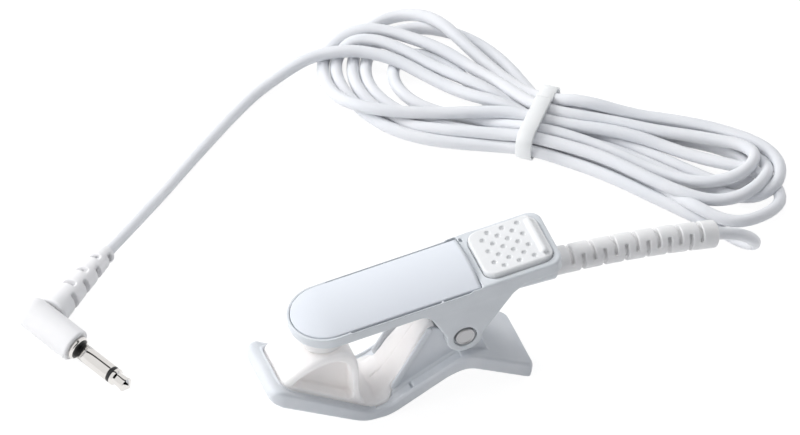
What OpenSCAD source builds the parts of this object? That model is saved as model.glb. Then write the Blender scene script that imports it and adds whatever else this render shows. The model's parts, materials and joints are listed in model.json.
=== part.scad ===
// Clip-on contact pickup for an instrument tuner.
// A sprung two-jaw clip holds a piezo disc against the headstock.
// Its cord is folded into a hank and ends in a right-angle mini plug.
// Millimetres. X runs along the clip (nose -X, cord +X), Z is up, table at z = 0.

/* [Clip] */
// overall length of the clip, front edge to rear end
clip_l = 60; // [58:1:62]
// width of the upper arm
arm_w = 15; // [14.5:0.5:15.5]
// width of the lower jaw
jaw_w = 16; // [15.5:0.5:17]
// thickness of the lower jaw plate
jaw_t = 4.0; // [3.6:0.1:4.4]
// upward tilt of the upper arm towards its rear, degrees
arm_tilt = 4.9; // [4.6:0.1:5.2]

/* [Pivot] */
// pivot pin diameter
pin_d = 4.0; // [3.6:0.1:4.2]
// height of the pivot above the table
pin_z = 16.1; // [16:0.1:16.4]
// radius of the ear boss round the pivot pin
boss_r = 4.0; // [3.8:0.1:4.2]
// thickness of each ear of the upper arm
ear_t = 2.0; // [1.8:0.1:2.1]
// torsion spring wire diameter
wire_d = 0.8; // [0.6:0.1:0.8]

/* [Upper arm] */
// height of the side wall below the seam of the cover
side_h = 2.3; // [2.2:0.1:2.6]
// height of the crowned cover above the seam
crown_h = 2.0; // [1.8:0.1:2.2]
// wall thickness of the moulding
wall = 1.2; // [1.1:0.1:1.3]
// diameter of the foot under the nose
foot_d = 9.0; // [8.6:0.1:9.6]
// dimple diameter in the thumb pad
dimple_d = 1.0; // [0.8:0.1:1.1]

/* [Pickup] */
// diameter of the brass disc
disc_d = 10.0; // [9:0.5:10.5]
// diameter of the ceramic on the disc
ceramic_d = 7.0; // [6:0.5:8]

/* [Cord] */
// cord diameter
cord_d = 2.5; // [2.4:0.1:2.6]
// diameter of the strain relief at the clip
boot_d = 5.6; // [5.4:0.1:5.8]
// length of the strain relief at the clip
boot_l = 35; // [34:0.5:36]
// height of the folded hank
hank_h = 6.4; // [6.2:0.1:6.6]
// width of the tie band
tie_w = 3.2; // [2.8:0.1:3.6]

/* [Plug] */
// diameter of the mono mini plug
plug_d = 3.5; // [3.4:0.1:3.5]
// length of the plug beyond its housing
plug_l = 14; // [13.5:0.5:14]
// diameter of the moulded housing
housing_d = 6.8; // [6.6:0.1:7.2]
// length of the housing from its face to the elbow
housing_l = 11; // [10.5:0.5:11.5]

/* [Hidden] */
$fn = 48;
// free clearance between pieces of one body
gap = 0.05;
// radial running clearance of the jaw on the pin
run_c = 0.06;

// stations of the clip along X
front_x = -clip_l / 2;
knee_x = front_x + 17.6;
pin_x = front_x + 38.65;
tail_x = front_x + 52.4;
rear_x = clip_l / 2;
// heights of the underside of the lower jaw
front_z = 9.5;
waist_z = 7.3;

// lower jaw: underside and rim line, front to tail
knee_cut = 3;
jaw_low = [[front_x + 0.15, front_z], [knee_x - knee_cut, 0.085 * jaw_w],
  [knee_x - 1, 0.1], [knee_x, 0], [knee_x + 1.4, 0.15],
  [knee_x + knee_cut + 1, 1.15], [pin_x - 3.2, waist_z - 1.3],
  [pin_x - 1, waist_z - 0.25], [pin_x + 1, waist_z - 0.35],
  [pin_x + 3, waist_z - 1.5], [tail_x - 0.4, 0]];
jaw_high = [[tail_x, jaw_t - 0.6], [tail_x - 0.6, jaw_t],
  [pin_x + 1.6, waist_z + jaw_t - 0.75], [pin_x - 0.2, waist_z + jaw_t - 0.3],
  [pin_x - 2.4, waist_z + jaw_t - 0.75], [knee_x + 1.2, jaw_t + 0.75],
  [knee_x - 0.5, jaw_t + 0.3], [knee_x - 2.2, jaw_t + 1.0],
  [front_x + 1.4, front_z + jaw_t + 0.8], [front_x + 0.7, front_z + jaw_t + 0.7]];
jaw_in_w = jaw_w - 3;
pad_w = jaw_in_w - 2 * gap;

// the pad lies in a seat sunk below the rim line: wide up to the webs, then narrow
web_x = pin_x - 14.4;
ramp_x = pin_x - 4.6;
ramp_w = 6.4;
seat_k = (waist_z - 2.0) / (pin_x - knee_x - 3.6);
function seat_z(x) = jaw_t - 0.75 + seat_k * (x - knee_x - 1.2);
seat_pts = [[front_x + 2.6, front_z + jaw_t - 1.35], [knee_x - 1.8, jaw_t - 0.75],
  [knee_x - 0.3, jaw_t - 1.15], [knee_x + 1.2, jaw_t - 0.75], [web_x, seat_z(web_x)]];
bump_top = [[web_x, seat_z(web_x) + 1.7], [knee_x + 2.8, jaw_t + 1.5],
  [knee_x + 1.3, jaw_t + 1.2], [knee_x + 0.7, jaw_t + 2.2],
  [knee_x + 0.1, jaw_t + 8.2], [knee_x - 0.8, jaw_t + 11.6],
  [knee_x - 2.2, jaw_t + 13.55], [knee_x - 4, jaw_t + 14.1],
  [knee_x - 6.4, jaw_t + 13.9], [knee_x - 9.6, jaw_t + 13.1],
  [knee_x - 12.4, jaw_t + 11.9], [knee_x - 14.2, jaw_t + 10.6],
  [front_x + 2.6, front_z + jaw_t + 0.3]];
ramp_pts = [[web_x - 0.4, seat_z(web_x)], [ramp_x, seat_z(ramp_x)],
  [ramp_x - 0.2, pin_z + 1.1], [ramp_x - 0.9, pin_z + 1.8], [ramp_x - 1.7, pin_z + 1.4],
  [ramp_x - 4.2, pin_z - 2.9], [ramp_x - 7.0, pin_z - 6.5], [web_x - 0.4, seat_z(web_x) + 1.7]];
pocket_pts = [[knee_x - 12.6, jaw_t + 9.0], [knee_x - 2.4, jaw_t + 2.4],
  [knee_x - 1.5, jaw_t + 3.6], [knee_x - 1.2, jaw_t + 7.6],
  [knee_x - 2.1, jaw_t + 10.6], [knee_x - 3.4, jaw_t + 12.0],
  [knee_x - 6.2, jaw_t + 12.2], [knee_x - 9.2, jaw_t + 11.5],
  [knee_x - 11.6, jaw_t + 10.4]];
// the bump is drawn in towards its top
bump_draft = 1.0;

// upper arm in its own frame: origin on the pin, X along the arm
deck_z = 8.65;
seam_z = deck_z + side_h;
crown_z = seam_z + crown_h;
nose_x = -26.5;
arm_rear = 22.5;
cover_x = 4.7;
rim_z = crown_z - 1.05;
thumb_x0 = 6.2;
thumb_x1 = 20.6;
thumb_w = arm_w - 2.4;
floor_z = deck_z + wall;
foot_z = 4.3;
foot_x = nose_x;

// strain relief: straight stub in the arm, then a gentle arc
boot_a0 = 2;
boot_a1 = 13;
boot_r = boot_l / ((boot_a1 - boot_a0) * PI / 180);
boot_z = 22;
boot_cx = rear_x - boot_r * sin(boot_a0);
boot_cz = boot_z - boot_r * cos(boot_a0);
bore_r = cord_d / 2 + gap;
slot_w = 0.8;
slot_p = (boot_l - 6.2) / 6.75;

// hank frame: origin at the tie, X towards the right-hand end
tie_x = 48.5;
tie_y = 55.3;
hank_a = -40.7;
tie_t = 0.7;
neck_w = 16.4;

// plug frame: elbow point, heading and droop
elbow_x = -64;
elbow_y = 38.6;
plug_a = -62.7;
droop = 8;
elbow_z = housing_d / 2 + housing_l * sin(droop);
pboot_x = 4.3;
pboot_l = 19.3;
pboot_r0 = 3.1;
pboot_r1 = 1.85;

// centre line of the cord from inside the arm to the hank
function boot_pt(s) = let (a = boot_a0 + s / boot_r * 180 / PI)
  [boot_cx + boot_r * sin(a), 0, boot_cz + boot_r * cos(a)];
exit_end = boot_pt(boot_l);
exit_way = [[exit_end[0] + 4.2, 0, exit_end[2] - 1.4],
  [exit_end[0] + 8.2, 0.5, exit_end[2] - 4.0],
  [exit_end[0] + 11.2, 2.4, exit_end[2] - 8.0],
  [exit_end[0] + 12.6, 5.6, exit_end[2] - 12.0],
  [exit_end[0] + 12.6, 9.4, 2.8], [exit_end[0] + 11.6, 13.0, 1.5],
  [exit_end[0] + 9.0, 16.6, 1.26], [exit_end[0] + 5.4, 20.0, 1.26]];
lead_way = [[-39.6, 51.6, 1.6], [-36, 54.9, 1.3], [-30.5, 60, 1.26],
  [-23.5, 66.2, 1.26], [-16, 73, 1.26], [-9, 79.2, 1.26], [-3, 83.6, 1.26],
  [2.6, 86.7, 1.6], [7.2, 88.3, 2.6], [10.6, 88.7, 3.9]];
lead_hit = [14.4, 88.0, 4.6];

function lerp(a, b, t) = a + (b - a) * t;
function unit(v) = v / norm(v);
// Catmull-Rom point between b and c
function cr(a, b, c, d, t) = 0.5 * (2 * b + (c - a) * t
  + (2 * a - 5 * b + 4 * c - d) * t * t + (3 * b - a - 3 * c + d) * t * t * t);
function at(p, i) = i < 0 ? 2 * p[0] - p[1]
  : i >= len(p) ? 2 * p[len(p) - 1] - p[len(p) - 2] : p[i];
// smooth line through all points, n steps between neighbours
function smooth(p, n) = concat([for (i = [0 : len(p) - 2], k = [0 : n - 1])
  cr(at(p, i - 1), p[i], p[i + 1], at(p, i + 2), k / n)], [p[len(p) - 1]]);

// round tube along a line of points; ref is never parallel to the line
module tube(p, r, m = 8, ref = [0, 0, 1]) {
  n = len(p);
  rings = [for (i = [0 : n - 1]) let (
      t = unit(at(p, i + 1) - at(p, i - 1)),
      s = unit(cross(t, ref)),
      u = cross(s, t))
    for (k = [0 : m - 1]) let (a = (k + 0.5) * 360 / m)
      p[i] + r * (cos(a) * s + sin(a) * u)];
  sides = [for (i = [0 : n - 2], k = [0 : m - 1]) let (j = (k + 1) % m)
    each [[i * m + k, i * m + j, (i + 1) * m + j],
      [i * m + k, (i + 1) * m + j, (i + 1) * m + k]]];
  ends = [[for (k = [m - 1 : -1 : 0]) k], [for (k = [0 : m - 1]) (n - 1) * m + k]];
  polyhedron(points = rings, faces = concat(sides, ends), convexity = 6);
}

// side profile drawn in X and Z, centred on y = 0
module slab(pts, w) {
  rotate([90, 0, 0]) linear_extrude(w, center = true) polygon(pts);
}

// rectangle with round corners
module rrect(x0, x1, w, r) {
  translate([x0 + r, -w / 2]) square([x1 - x0 - 2 * r, w]);
  translate([x0, -w / 2 + r]) square([x1 - x0, w - 2 * r]);
  for (x = [x0 + r, x1 - r], y = [-w / 2 + r, w / 2 - r])
    translate([x, y]) circle(r = r);
}

// plan of the arm: half-round nose, then straight sides
module nose_plan(x1, w, x0 = nose_x) {
  translate([x0, 0]) circle(d = w);
  translate([x0, -w / 2]) square([x1 - x0, w]);
}

module arm_frame() {
  translate([pin_x, 0, pin_z]) rotate([0, -arm_tilt, 0]) children();
}

// frame on the strain relief, s along its axis
module boot_frame(s) {
  translate([boot_cx, 0, boot_cz])
    rotate([0, boot_a0 + s / boot_r * 180 / PI, 0]) translate([0, 0, boot_r]) children();
}

// round bar of radius r from x0 to x1 along local X
module bar(x0, x1, r) {
  translate([x0, 0, 0]) rotate([0, 90, 0]) cylinder(r = r, h = x1 - x0);
}

// arc of round section along the strain relief
module boot_arc(r, s0 = 0, s1 = boot_l) {
  a0 = boot_a0 + s0 / boot_r * 180 / PI;
  a1 = boot_a0 + s1 / boot_r * 180 / PI;
  translate([boot_cx, 0, boot_cz]) rotate([90, 0, 0]) rotate([0, 0, 90 - a1])
    rotate_extrude(angle = a1 - a0, $fn = 360) translate([boot_r, 0])
      circle(r = r, $fn = 32);
}

module hank_frame() {
  translate([tie_x, tie_y, 0]) rotate([0, 0, hank_a]) children();
}

// local X runs from the elbow out along the plug
module plug_frame() {
  translate([elbow_x, elbow_y, elbow_z]) rotate([0, 0, plug_a])
    rotate([0, droop, 0]) children();
}

// local X runs from the elbow out along the plug boot
module pboot_frame() {
  translate([elbow_x, elbow_y, elbow_z]) rotate([0, 0, plug_a + 90])
    rotate([0, 8.3, 0]) children();
}

// one ear of the upper arm, side = -1 near, +1 far
module arm_ear(side) {
  y = side * ((arm_w - ear_t) / 2 - 0.05);
  translate([0, y, 0]) {
    slab([[pin_x - 7.4, pin_z + 8.2], [pin_x - 5.3, pin_z + 3.8],
      [pin_x - 3.75, pin_z + 1.2], [pin_x, pin_z], [pin_x + 3, pin_z - 2.5],
      [pin_x + 11.9, pin_z + 10.2]], ear_t);
    translate([pin_x, 0, pin_z]) rotate([90, 0, 0])
      cylinder(r = boss_r, h = ear_t, center = true);
  }
}

// cable channel under the rear of the arm
module keel() {
  intersection() {
    slab([[pin_x + 6.2, pin_z + 9], [pin_x + 6.2, pin_z + 4.6],
      [pin_x + 10.6, pin_z + 2.5], [rear_x - 0.2, boot_z - 3.9],
      [rear_x - 0.2, boot_z + 6], [pin_x + 8, boot_z + 5]], 10);
    translate([pin_x, 0, 0]) rotate([90, 0, 90]) linear_extrude(30) {
      translate([0, boot_z + 0.2]) circle(r = 4.1);
      translate([-4.1, boot_z + 0.2]) square([8.2, 9]);
    }
  }
}

module arm_solid() {
  arm_frame() {
    translate([0, 0, deck_z]) linear_extrude(side_h)
      nose_plan(cover_x + 1, arm_w);
    translate([0, 0, deck_z]) linear_extrude(rim_z - deck_z)
      rrect(cover_x - 4, arm_rear, arm_w, 2.6);
  }
  arm_ear(-1);
  arm_ear(1);
  keel();
}

module upper_arm() {
  color("white") difference() {
    arm_solid();
    arm_frame() {
      // seat of the cover in front of the thumb rim
      translate([-40, -20, seam_z]) cube([40 + cover_x, 40, 5]);
      // chamber for the pickup
      translate([0, 0, floor_z]) linear_extrude(5)
        nose_plan(cover_x - 1.2, arm_w - 2 * wall);
      // hole for the post of the nose foot
      translate([foot_x, 0, deck_z - 1]) cylinder(r = 3 + gap, h = 3);
      // seat of the thumb pad
      translate([0, 0, seam_z]) linear_extrude(5)
        rrect(thumb_x0 - 0.1, thumb_x1 + 0.1, thumb_w + 0.2, 2.5);
      // duct for the wires
      translate([cover_x - 2, -1.6, floor_z - 0.4]) cube([9.6, 3.2, 1.2]);
      translate([10.9, 0, 4.6]) cylinder(r = 1.4, h = 5);
    }
    // pivot holes
    translate([pin_x, 0, pin_z]) rotate([90, 0, 0])
      cylinder(r = pin_d / 2 + 0.03, h = arm_w + 2, center = true);
    // passage of the cord, its collar and the strain relief
    boot_frame(0) {
      bar(-10.4, 2, bore_r);
      bar(-8.6, -5.4, 2.1 + gap);
      bar(-3.6, 2, boot_d / 2 + gap);
      bar(-3.0 - gap, -1.4 + gap, 3.4 + gap);
    }
  }
}

// crowned skin of the cover, lowered by d and narrowed by d
module crown(d) {
  w = arm_w / 2;
  h = crown_h - 0.45;
  r = (w * w + h * h) / (2 * h);
  intersection() {
    translate([0, 0, seam_z - 2]) linear_extrude(6)
      nose_plan(cover_x - 0.12 - d, arm_w - 2 * d);
    union() {
      translate([nose_x, 0, crown_z - r]) sphere(r = r - d, $fn = 128);
      translate([nose_x, 0, crown_z - r]) rotate([0, 90, 0])
        cylinder(r = r - d, h = 40, $fn = 128);
    }
  }
}

module top_cover() {
  color("white") arm_frame() difference() {
    union() {
      intersection() {
        crown(0);
        translate([-60, -20, seam_z + 0.15]) cube([100, 40, 10]);
      }
      // locating lip inside the side wall
      translate([0, 0, seam_z - 0.7]) linear_extrude(1.2)
        nose_plan(cover_x - 1.3, arm_w - 2 * wall - 0.2);
    }
    intersection() {
      crown(0.95);
      translate([-60, -20, seam_z - 2]) cube([100, 40, 10]);
    }
    translate([0, 0, seam_z - 3]) linear_extrude(3.2)
      nose_plan(cover_x - 2.1, arm_w - 2 * wall - 1.8);
  }
}

module thumb_pad() {
  color("whitesmoke") arm_frame() difference() {
    union() {
      translate([0, 0, seam_z]) linear_extrude(crown_h)
        rrect(thumb_x0, thumb_x1, thumb_w, 2.4);
      // ridge across the rear edge
      translate([thumb_x1 - 1.4, -thumb_w / 2 + 2, crown_z - 0.5])
        cube([1.0, thumb_w - 4, 0.95]);
    }
    for (i = [0 : 5], j = [0 : 3 - (i + 1) % 2])
      translate([8.9 + 1.65 * i, 3.17 * (j - 1.5 + 0.5 * ((i + 1) % 2)), crown_z + 0.12])
        sphere(d = dimple_d, $fn = 12);
  }
}

module nose_foot() {
  color("whitesmoke") arm_frame() {
    translate([foot_x, 0, foot_z]) cylinder(d = foot_d, h = deck_z - foot_z - gap);
    translate([foot_x, 0, foot_z]) cylinder(r = 3, h = floor_z - foot_z - gap);
  }
}

module piezo_foam() {
  color("dimgray") arm_frame() translate([foot_x, 0, floor_z])
    cylinder(d = disc_d - 1, h = 0.5);
}

module piezo_plate() {
  color("gold") arm_frame() translate([foot_x, 0, floor_z + 0.5])
    cylinder(d = disc_d, h = 0.25);
}

module piezo_ceramic() {
  color("lightgray") arm_frame() translate([foot_x, 0, floor_z + 0.75])
    cylinder(d = ceramic_d, h = 0.22);
}

// insulated wire from the disc to the end of the cord
module wire(y, x, z) {
  arm_frame() tube(smooth([[x, y, z], [x + 3, y, z + 0.25],
    [-14, y * 0.8, floor_z + 0.9], [-6, y * 0.8, floor_z + 0.5],
    [1, sign(y) * 0.8, floor_z + 0.42], [7, sign(y) * 0.55, floor_z + 0.2],
    [10.4, sign(y) * 0.5, floor_z - 0.4], [10.9, sign(y) * 0.45, 7.8],
    [10.9, sign(y) * 0.45, 6.2], [11.2, sign(y) * 0.45, 5.5]], 3), 0.35, 8, [0, 1, 0]);
}

module signal_wire() {
  color("firebrick") wire(1.2, foot_x + 2, floor_z + 1.34);
}

module ground_wire() {
  color("dimgray") wire(-3.2, foot_x + 3.1, floor_z + 1.12);
}

module cord_retainer() {
  color("silver") boot_frame(0) difference() {
    bar(-8.5, -5.5, 2.1);
    bar(-9, -5, bore_r);
  }
}

// web of the lower jaw between the ears of the arm
module jaw_web(side) {
  y = side * 4.25;
  translate([0, y, 0]) {
    slab([[web_x + 0.3, 4.6], [web_x + 0.1, 6.9], [pin_x - 3.2, pin_z + 1.4], [pin_x, pin_z],
      [pin_x + 3.3, pin_z - 1], [pin_x + 6.2, waist_z - 0.6],
      [pin_x, waist_z + 0.5]], 1.9);
    translate([pin_x, 0, pin_z]) rotate([90, 0, 0])
      cylinder(r = boss_r - 0.4, h = 1.9, center = true);
  }
}

module lower_jaw() {
  color("white") difference() {
    union() {
      intersection() {
        slab(concat(jaw_low, jaw_high), jaw_w);
        translate([0, 0, -1]) linear_extrude(40)
          rrect(front_x, tail_x, jaw_w, 3);
      }
      jaw_web(-1);
      jaw_web(1);
    }
    // wide seat of the pad, with its corners as round as the pad's
    intersection() {
      slab(concat(seat_pts, [[web_x, 22], [front_x + 2.6, 22]]), 20);
      translate([0, 0, -1]) linear_extrude(40)
        rrect(front_x + 2.6 - gap, web_x + gap, jaw_in_w, 2.2);
    }
    // narrow seat of the ramp between the webs
    slab([[web_x - 1, seat_z(web_x - 1)], [ramp_x + gap, seat_z(ramp_x)],
      [ramp_x + gap, 22], [web_x - 1, 22]], ramp_w + 2 * gap);
    // pivot hole
    translate([pin_x, 0, pin_z]) rotate([90, 0, 0])
      cylinder(r = pin_d / 2 + run_c, h = 20, center = true);
  }
}

module jaw_pad() {
  color("linen") translate([0, 0, gap]) {
    difference() {
      intersection() {
        slab(concat(seat_pts, bump_top), pad_w);
        translate([0, 0, -1]) linear_extrude(40)
          rrect(front_x + 2.6, web_x, pad_w, 2.2 - gap);
        rotate([90, 0, 90]) linear_extrude(100, center = true)
          polygon([[-pad_w / 2 - 1, 0], [pad_w / 2 + 1, 0], [pad_w / 2, jaw_t + 4],
            [pad_w / 2 - bump_draft, jaw_t + 15], [bump_draft - pad_w / 2, jaw_t + 15],
            [-pad_w / 2, jaw_t + 4]]);
      }
      // hollow on each side of a middle web
      for (side = [-1, 1]) translate([0, side * (pad_w / 4 + 1), 0])
        slab(pocket_pts, pad_w / 2);
    }
    // ramp between the webs, up to the coil
    slab(ramp_pts, ramp_w);
  }
}

module pivot_pin() {
  color("silver") translate([pin_x, 0, pin_z]) rotate([90, 0, 0])
    cylinder(r = pin_d / 2, h = arm_w, center = true);
}

// coil on the pin, one leg under the arm and one on the tail
module torsion_spring() {
  rc = pin_d / 2 + 0.35 + wire_d / 2;
  up = [8.4, 2.2];
  dn = [6.6, -8.0];
  a0 = atan2(up[1], up[0]) + acos(rc / norm(up));
  a1 = atan2(dn[1], dn[0]) - acos(rc / norm(dn)) + 5 * 360;
  n = 66;
  coil = [for (i = [0 : n]) let (a = lerp(a0, a1, i / n))
    [rc * cos(a), lerp(-2.0, 2.0, i / n), rc * sin(a)]];
  line = concat([[up[0], -2.0, up[1]], [up[0] * 0.5, -2.0, lerp(up[1], coil[0][2], 0.55)]],
    coil, [[dn[0] * 0.5, 2.0, lerp(coil[n][2], dn[1], 0.6)], [dn[0], 2.0, dn[1]]]);
  color("silver") translate([pin_x, 0, pin_z]) tube(line, wire_d / 2, 8, [0, 1, 0]);
}

// one slot of the strain relief, side = 1 above, -1 below; the core stays whole
module boot_slot(s, side) {
  boot_frame(s) difference() {
    translate([-slot_w / 2, -5, side > 0 ? 0.3 : -5.3]) cube([slot_w, 10, 5]);
    bar(-2, 2, 1.85);
  }
}

module strain_relief() {
  color("white") difference() {
    union() {
      boot_arc(boot_d / 2, -3.5, boot_l);
      // flange held in the arm
      boot_arc(3.4, -3, -1.4);
    }
    boot_arc(bore_r, -4, boot_l + 0.5);
    for (i = [0 : 6]) boot_slot(2.6 + slot_p * i, 1);
    for (i = [0 : 5]) boot_slot(2.6 + slot_p * (i + 0.5), -1);
  }
}

module cord_exit() {
  inside = [for (i = [-2 : 0]) let (s = i * 5) [rear_x + s * cos(boot_a0), 0,
    boot_z - s * sin(boot_a0)]];
  along = [for (i = [1 : 7]) boot_pt(i * boot_l / 7)];
  color("white") tube(concat(inside, along, [for (i = [1 : 24])
    let (w = smooth(concat([along[5], along[6]], exit_way), 3)) w[3 + i]]), cord_d / 2);
}

module cord_lead() {
  a = plug_a + 90;
  s = pboot_x + pboot_l;
  dz = sin(8.3);
  c = cos(8.3);
  start = [for (k = [s - 12, s - 6, s]) [elbow_x + k * c * cos(a),
    elbow_y + k * c * sin(a), elbow_z - k * dz]];
  color("white") tube(smooth(concat(start, lead_way, [lead_hit]), 2), cord_d / 2);
}

// outline of the folded cord: wide left loop, waist, narrow right loop
module hank_plan() {
  translate([-31, 5]) circle(r = 17, $fn = 96);
  translate([40, 0.5]) circle(r = 12.3, $fn = 96);
  polygon([[-41, 18.7], [-20, 17.9], [-8, 10], [0, neck_w / 2 + 0.7], [8, 9.4],
    [36.5, 12.3], [36.5, -11.3], [8, -9.6], [0, -neck_w / 2 - 0.7],
    [-8, -9.3], [-26, -11.3], [-40, -9.4]]);
}

module cord_hank() {
  color("white") hank_frame() {
    difference() {
      linear_extrude(hank_h) hank_plan();
      // waist where the tie is wrapped
      translate([-tie_w / 2 - gap, -20, -1]) cube([tie_w + 2 * gap, 40, hank_h + 2]);
    }
    translate([-tie_w, -neck_w / 2, tie_t + gap])
      cube([2 * tie_w, neck_w, hank_h - 2 * tie_t - 2 * gap]);
  }
}

module cable_tie() {
  w = neck_w + 2 * gap + 2 * tie_t;
  color("white") hank_frame() difference() {
    translate([-tie_w / 2, 0, 0]) rotate([90, 0, 90]) linear_extrude(tie_w)
      translate([0, hank_h / 2]) rotate(90) rrect(-hank_h / 2, hank_h / 2, w, 2);
    translate([-5, -neck_w / 2 - gap, tie_t])
      cube([10, neck_w + 2 * gap, hank_h - 2 * tie_t]);
  }
}

module plug_housing() {
  color("white") difference() {
    union() {
      plug_frame() {
        bar(0, housing_l, housing_d / 2);
        sphere(d = housing_d);
      }
      pboot_frame() bar(0, pboot_x, pboot_r0);
    }
    plug_frame() bar(1.5, housing_l + 1, 1.1);
    plug_frame() bar(housing_l - 3, housing_l + 1, 1.75 + gap);
    pboot_frame() bar(-1, 5, 0.9);
  }
}

module plug_boot() {
  color("white") pboot_frame() difference() {
    translate([pboot_x + gap, 0, 0]) rotate([0, 90, 0])
      cylinder(r1 = pboot_r0 - 0.1, r2 = pboot_r1, h = pboot_l);
    bar(pboot_x, 30, bore_r);
    difference() {
      union() {
        for (i = [0 : 3]) translate([7.1 + 4.4 * i, -5, 0.3]) cube([0.8, 10, 6]);
        for (i = [0 : 2]) translate([9.3 + 4.4 * i, -5, -6.3]) cube([0.8, 10, 6]);
      }
      bar(0, 30, 1.62);
    }
  }
}

module plug_flange() {
  color("silver") plug_frame() difference() {
    bar(housing_l + gap, housing_l + 0.9, 2.5);
    bar(housing_l - 1, housing_l + 2, 1.1);
  }
}

module plug_sleeve() {
  x0 = housing_l + 0.9 + gap;
  color("silver") plug_frame() difference() {
    union() {
      bar(x0, housing_l + plug_l - 4.7, plug_d / 2);
    }
    bar(x0 - 1, housing_l + plug_l, 1.1);
  }
}

module plug_insulator() {
  x0 = housing_l + plug_l - 4.7 + gap;
  color("black") plug_frame() difference() {
    union() {
      bar(x0, x0 + 0.7, plug_d / 2);
      bar(housing_l - 2, x0 + 0.1, 1.1 - gap);
    }
    bar(housing_l - 3, x0 + 2, 0.6 + gap);
  }
}

module plug_tip() {
  x0 = housing_l + plug_l - 4.7 + 2 * gap + 0.7;
  r = plug_d / 2;
  color("silver") plug_frame() translate([x0, 0, 0]) rotate([0, 90, 0])
    rotate_extrude() polygon([[0.6 + gap, 0], [r, 0], [r, 0.75], [r * 0.74, 1.25],
      [r * 0.8, 1.7], [r * 0.87, 2.25], [r * 0.8, 2.6], [0.45, 3.6], [0.2, 3.78],
      [0, 3.82], [0, 1], [0.6 + gap, 1]]);
}

module plug_rod() {
  x0 = housing_l + plug_l - 4.7 + 2 * gap + 0.7;
  color("goldenrod") plug_frame() bar(housing_l - 4, x0 + 1 - gap, 0.6);
}

upper_arm();
top_cover();
thumb_pad();
nose_foot();
piezo_plate();
piezo_ceramic();
piezo_foam();
signal_wire();
ground_wire();
cord_retainer();
lower_jaw();
jaw_pad();
pivot_pin();
torsion_spring();
strain_relief();
cord_exit();
cord_hank();
cord_lead();
cable_tie();
plug_housing();
plug_boot();
plug_flange();
plug_sleeve();
plug_insulator();
plug_tip();
plug_rod();
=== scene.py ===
# %% [markdown]
# # A clip-on contact pickup for an instrument tuner
# The real thing is a sprung plastic clip that bites the headstock of an instrument.
# A small disc in its nose picks up the vibration, and a thin cord takes it to a tuner.
# The solids come ready made as the frame. This lesson gives them their looks:
# rounder forms, fine edges, a real cord, and finishes made from nodes.

# %% Load the frame
import json
import math

import bmesh
import bpy
import numpy as np
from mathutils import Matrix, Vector

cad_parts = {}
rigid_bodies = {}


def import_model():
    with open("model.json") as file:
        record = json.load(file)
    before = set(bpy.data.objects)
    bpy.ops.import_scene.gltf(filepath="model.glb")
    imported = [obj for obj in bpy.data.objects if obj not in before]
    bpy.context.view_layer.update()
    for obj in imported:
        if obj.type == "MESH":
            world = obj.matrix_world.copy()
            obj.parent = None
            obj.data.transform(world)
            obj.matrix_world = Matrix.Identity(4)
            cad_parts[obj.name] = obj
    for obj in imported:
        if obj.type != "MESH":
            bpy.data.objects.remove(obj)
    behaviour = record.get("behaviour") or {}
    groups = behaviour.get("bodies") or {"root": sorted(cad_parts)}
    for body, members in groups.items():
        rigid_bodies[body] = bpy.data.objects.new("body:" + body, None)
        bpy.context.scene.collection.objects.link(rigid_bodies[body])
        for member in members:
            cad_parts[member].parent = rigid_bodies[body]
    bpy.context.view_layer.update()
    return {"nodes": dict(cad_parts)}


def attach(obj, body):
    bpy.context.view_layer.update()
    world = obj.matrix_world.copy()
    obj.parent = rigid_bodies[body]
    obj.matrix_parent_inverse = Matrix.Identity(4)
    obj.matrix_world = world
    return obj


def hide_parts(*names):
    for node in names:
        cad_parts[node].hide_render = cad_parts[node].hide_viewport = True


for o in list(bpy.data.objects):
    bpy.data.objects.remove(o)
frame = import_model()

# %% [markdown]
# ## The camera
# A clip seen from close by would grow at its near end. A very long lens far away keeps
# near and far parts at one scale, so every length in the picture can be compared.
# The eye is high, in front and a little to the left of the clip.

# %% Camera
target = np.array([0.0143, 0.0427, 0.0])
towards = np.array([-0.2534, -0.6601, 0.7071])
eye_distance = 3.951
camera = bpy.data.objects.new("camera", bpy.data.cameras.new("camera"))
camera.data.lens = 900
camera.data.clip_start = 0.05
camera.data.clip_end = 20
camera.location = target + eye_distance * towards
camera.rotation_mode = "QUATERNION"
camera.rotation_quaternion = Vector(-towards).to_track_quat("-Z", "Y")
bpy.context.scene.collection.objects.link(camera)
bpy.context.scene.camera = camera
print("camera at", [round(float(v), 3) for v in camera.location])

# %% [markdown]
# ## Helpers for colour, nodes and meshes
# Colours are written as sRGB hex, as a paint chart has them, and turned to linear light
# once. One function adds a shader node with its settings and its links. Another makes
# a mesh from points and faces, and says which body of the frame it moves with.

# %% Colour, node and mesh helpers
def linear(hex_colour):
    """sRGB hex to linear RGBA: c/12.92 below 0.04045, else ((c+0.055)/1.055)^2.4."""
    c = np.array([int(hex_colour[i:i + 2], 16) / 255 for i in (1, 3, 5)])
    c = np.where(c < 0.04045, c / 12.92, ((c + 0.055) / 1.055) ** 2.4)
    return (*c.tolist(), 1.0)


def add(tree, kind, settings=None, links=None):
    """Adds a node. Settings name attributes or sockets; links name its sockets' sources."""
    n = tree.nodes.new("ShaderNode" + kind)
    for key, value in (settings or {}).items():
        if isinstance(key, str) and hasattr(n, key):
            setattr(n, key, value)
        else:
            n.inputs[key].default_value = value
    for key, source in (links or {}).items():
        tree.links.new(source, n.inputs[key])
    return n


def blank(owner):
    """The node tree of a material or a world, emptied."""
    owner.use_nodes = True
    owner.node_tree.nodes.clear()
    return owner.node_tree


def finish_solid(name, finish):
    """Gives a solid of the frame its one finish."""
    solid = frame["nodes"][name]
    solid.data.materials.clear()
    solid.data.materials.append(finish)


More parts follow.
